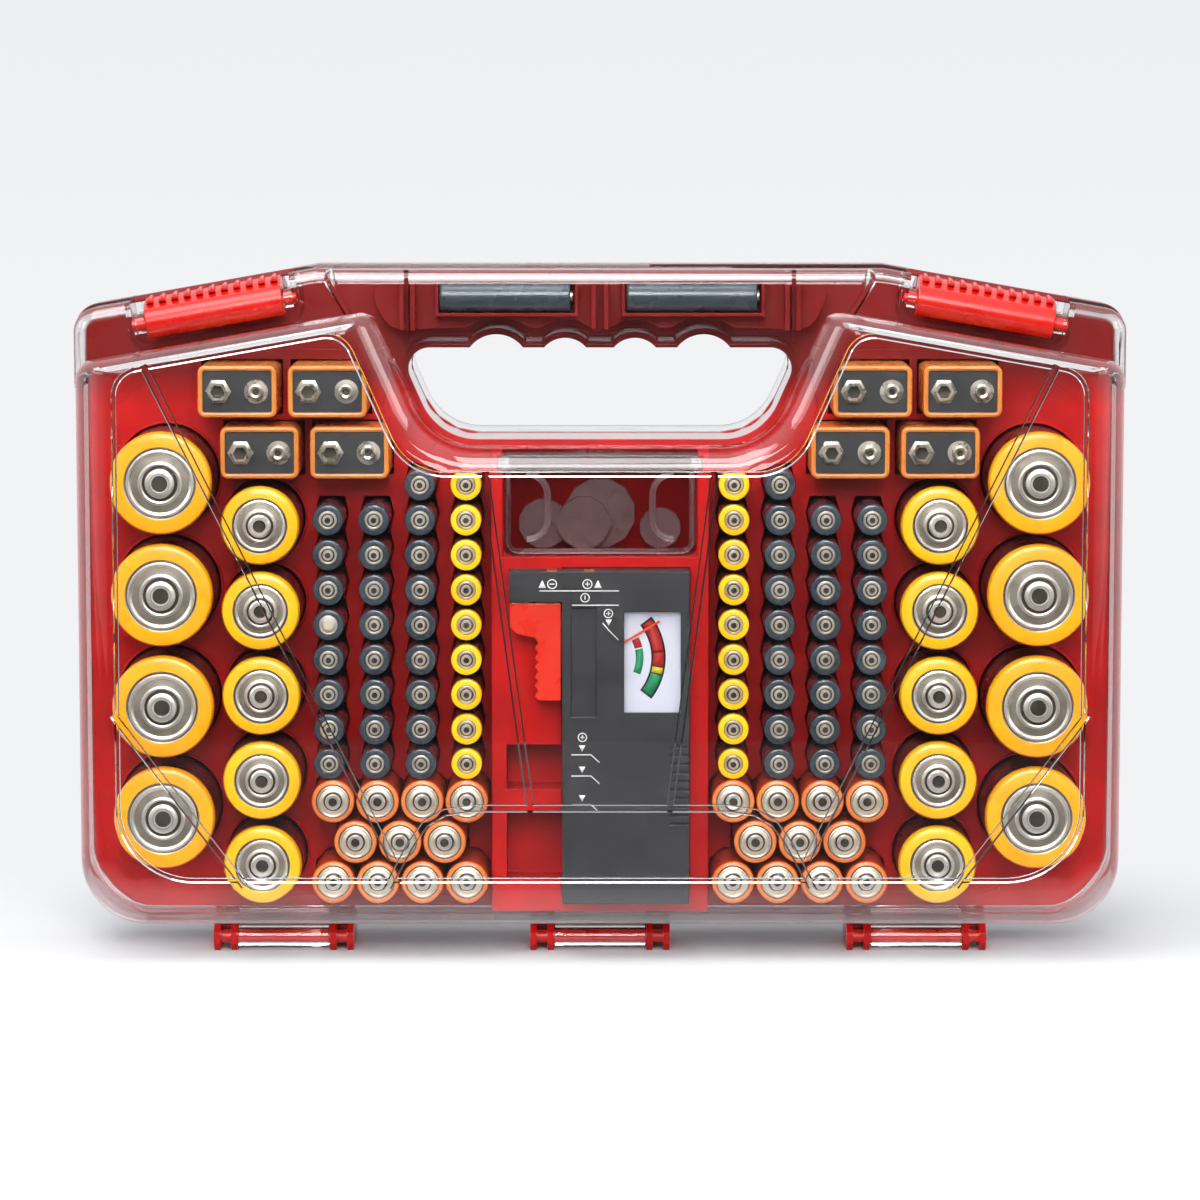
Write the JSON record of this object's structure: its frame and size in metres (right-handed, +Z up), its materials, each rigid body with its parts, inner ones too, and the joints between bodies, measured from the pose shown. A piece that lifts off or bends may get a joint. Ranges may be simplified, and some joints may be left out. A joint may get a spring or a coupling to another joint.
{
  "type": "battery storage carrying case",
  "caption": "Flat carrying case with a moulded tray of battery pockets and a battery tester between two clear hinged lids, each held by snap latches beside a grip opening.",
  "frame": {"origin": "middle of the footprint of the bounding box, on the plane of the hinge lugs that the case stands on", "axes": "+Z up, front lid facing -Y, +X to the right seen from the front"},
  "size_m": [0.3546, 0.0734, 0.234],
  "materials": {
    "tray_red": "glossy moulded",
    "lid_clear": "clear polished",
    "latch_red": "glossy moulded",
    "tester_charcoal": "fine matt",
    "slider_red": "satin",
    "contact_metal": "plated",
    "dial_card": "printed card",
    "movement_dark": "moulded",
    "needle_orange": "painted",
    "resistor_tan": "lacquered",
    "d_label": "printed sleeve on steel",
    "c_label": "printed sleeve on steel",
    "yellow_label": "printed sleeve on steel",
    "grey_label": "printed sleeve on steel",
    "copper_label": "printed sleeve on steel",
    "nine_volt_case": "printed sleeve on steel",
    "coin_steel": "polished steel"
  },
  "bodies": {
    "tray": {"tray": "tray_red", "latch_keepers": "tray_red", "cell_plates": "tray_red", "cell_cups": "tray_red", "centre_bay": "tray_red", "handle_grip": "tray_red", "coin_cells": "coin_steel", "tester_body": "tester_charcoal", "tester_back": "tester_charcoal", "tester_contacts": "contact_metal", "meter_window": "lid_clear", "meter_dial": "dial_card", "meter_movement": "movement_dark", "load_resistor": "resistor_tan", "d_cells": "d_label", "c_cells": "c_label", "nine_volt_cells": "nine_volt_case", "nine_volt_posts": "contact_metal", "aaa_cells_grey": "grey_label", "aaa_cells_yellow": "yellow_label", "aa_cells": "copper_label", "handle_cells": "grey_label", "back_aa_cells": "copper_label"},
    "front_lid": {"front_lid": "lid_clear"},
    "back_lid": {"back_lid": "lid_clear"},
    "front_latch_left": {"front_latch_left": "latch_red"},
    "front_latch_right": {"front_latch_right": "latch_red"},
    "back_latch_left": {"back_latch_left": "latch_red"},
    "back_latch_right": {"back_latch_right": "latch_red"},
    "coin_lid": {"coin_lid": "lid_clear"},
    "slider": {"tester_slider": "slider_red", "slider_contact": "contact_metal"},
    "needle": {"meter_needle": "needle_orange"}
  },
  "joints": [
    {"name": "front_lid_hinge", "type": "hinge", "parent": "tray", "child": "front_lid", "pos_m": [0, -0.00525, 0.0045], "axis": [1, 0, 0], "range_deg": [0, 130]},
    {"name": "back_lid_hinge", "type": "hinge", "parent": "tray", "child": "back_lid", "pos_m": [0, 0.01275, 0.0045], "axis": [-1, 0, 0], "range_deg": [0, 130]},
    {"name": "front_latch_left_hinge", "type": "hinge", "parent": "front_lid", "child": "front_latch_left", "pos_m": [-0.1293, -0.01025, 0.21847], "axis": [0.9846, 0, 0.1747], "range_deg": [0, 60]},
    {"name": "front_latch_right_hinge", "type": "hinge", "parent": "front_lid", "child": "front_latch_right", "pos_m": [0.1293, -0.01025, 0.21847], "axis": [0.9846, 0, -0.1747], "range_deg": [0, 60]},
    {"name": "back_latch_left_hinge", "type": "hinge", "parent": "back_lid", "child": "back_latch_left", "pos_m": [-0.1293, 0.01775, 0.21847], "axis": [-0.9846, 0, -0.1747], "range_deg": [0, 60]},
    {"name": "back_latch_right_hinge", "type": "hinge", "parent": "back_lid", "child": "back_latch_right", "pos_m": [0.1293, 0.01775, 0.21847], "axis": [-0.9846, 0, 0.1747], "range_deg": [0, 60]},
    {"name": "coin_lid_hinge", "type": "hinge", "parent": "tray", "child": "coin_lid", "pos_m": [0, -0.01735, 0.1693], "axis": [-1, 0, 0], "range_deg": [0, 24]},
    {"name": "tester_slider_slide", "type": "slide", "parent": "tray", "child": "slider", "axis": [0, 0, -1], "range_m": [0, 0.066], "stiffness_N_per_m": 20, "springref_m": -0.01},
    {"name": "meter_needle_hinge", "type": "hinge", "parent": "tray", "child": "needle", "pos_m": [-0.0006, -0.02625, 0.1034], "axis": [0, 1, 0], "range_deg": [0, 62], "stiffness_Nm_per_rad": 0.0001, "springref_deg": -17.19}
  ]
}
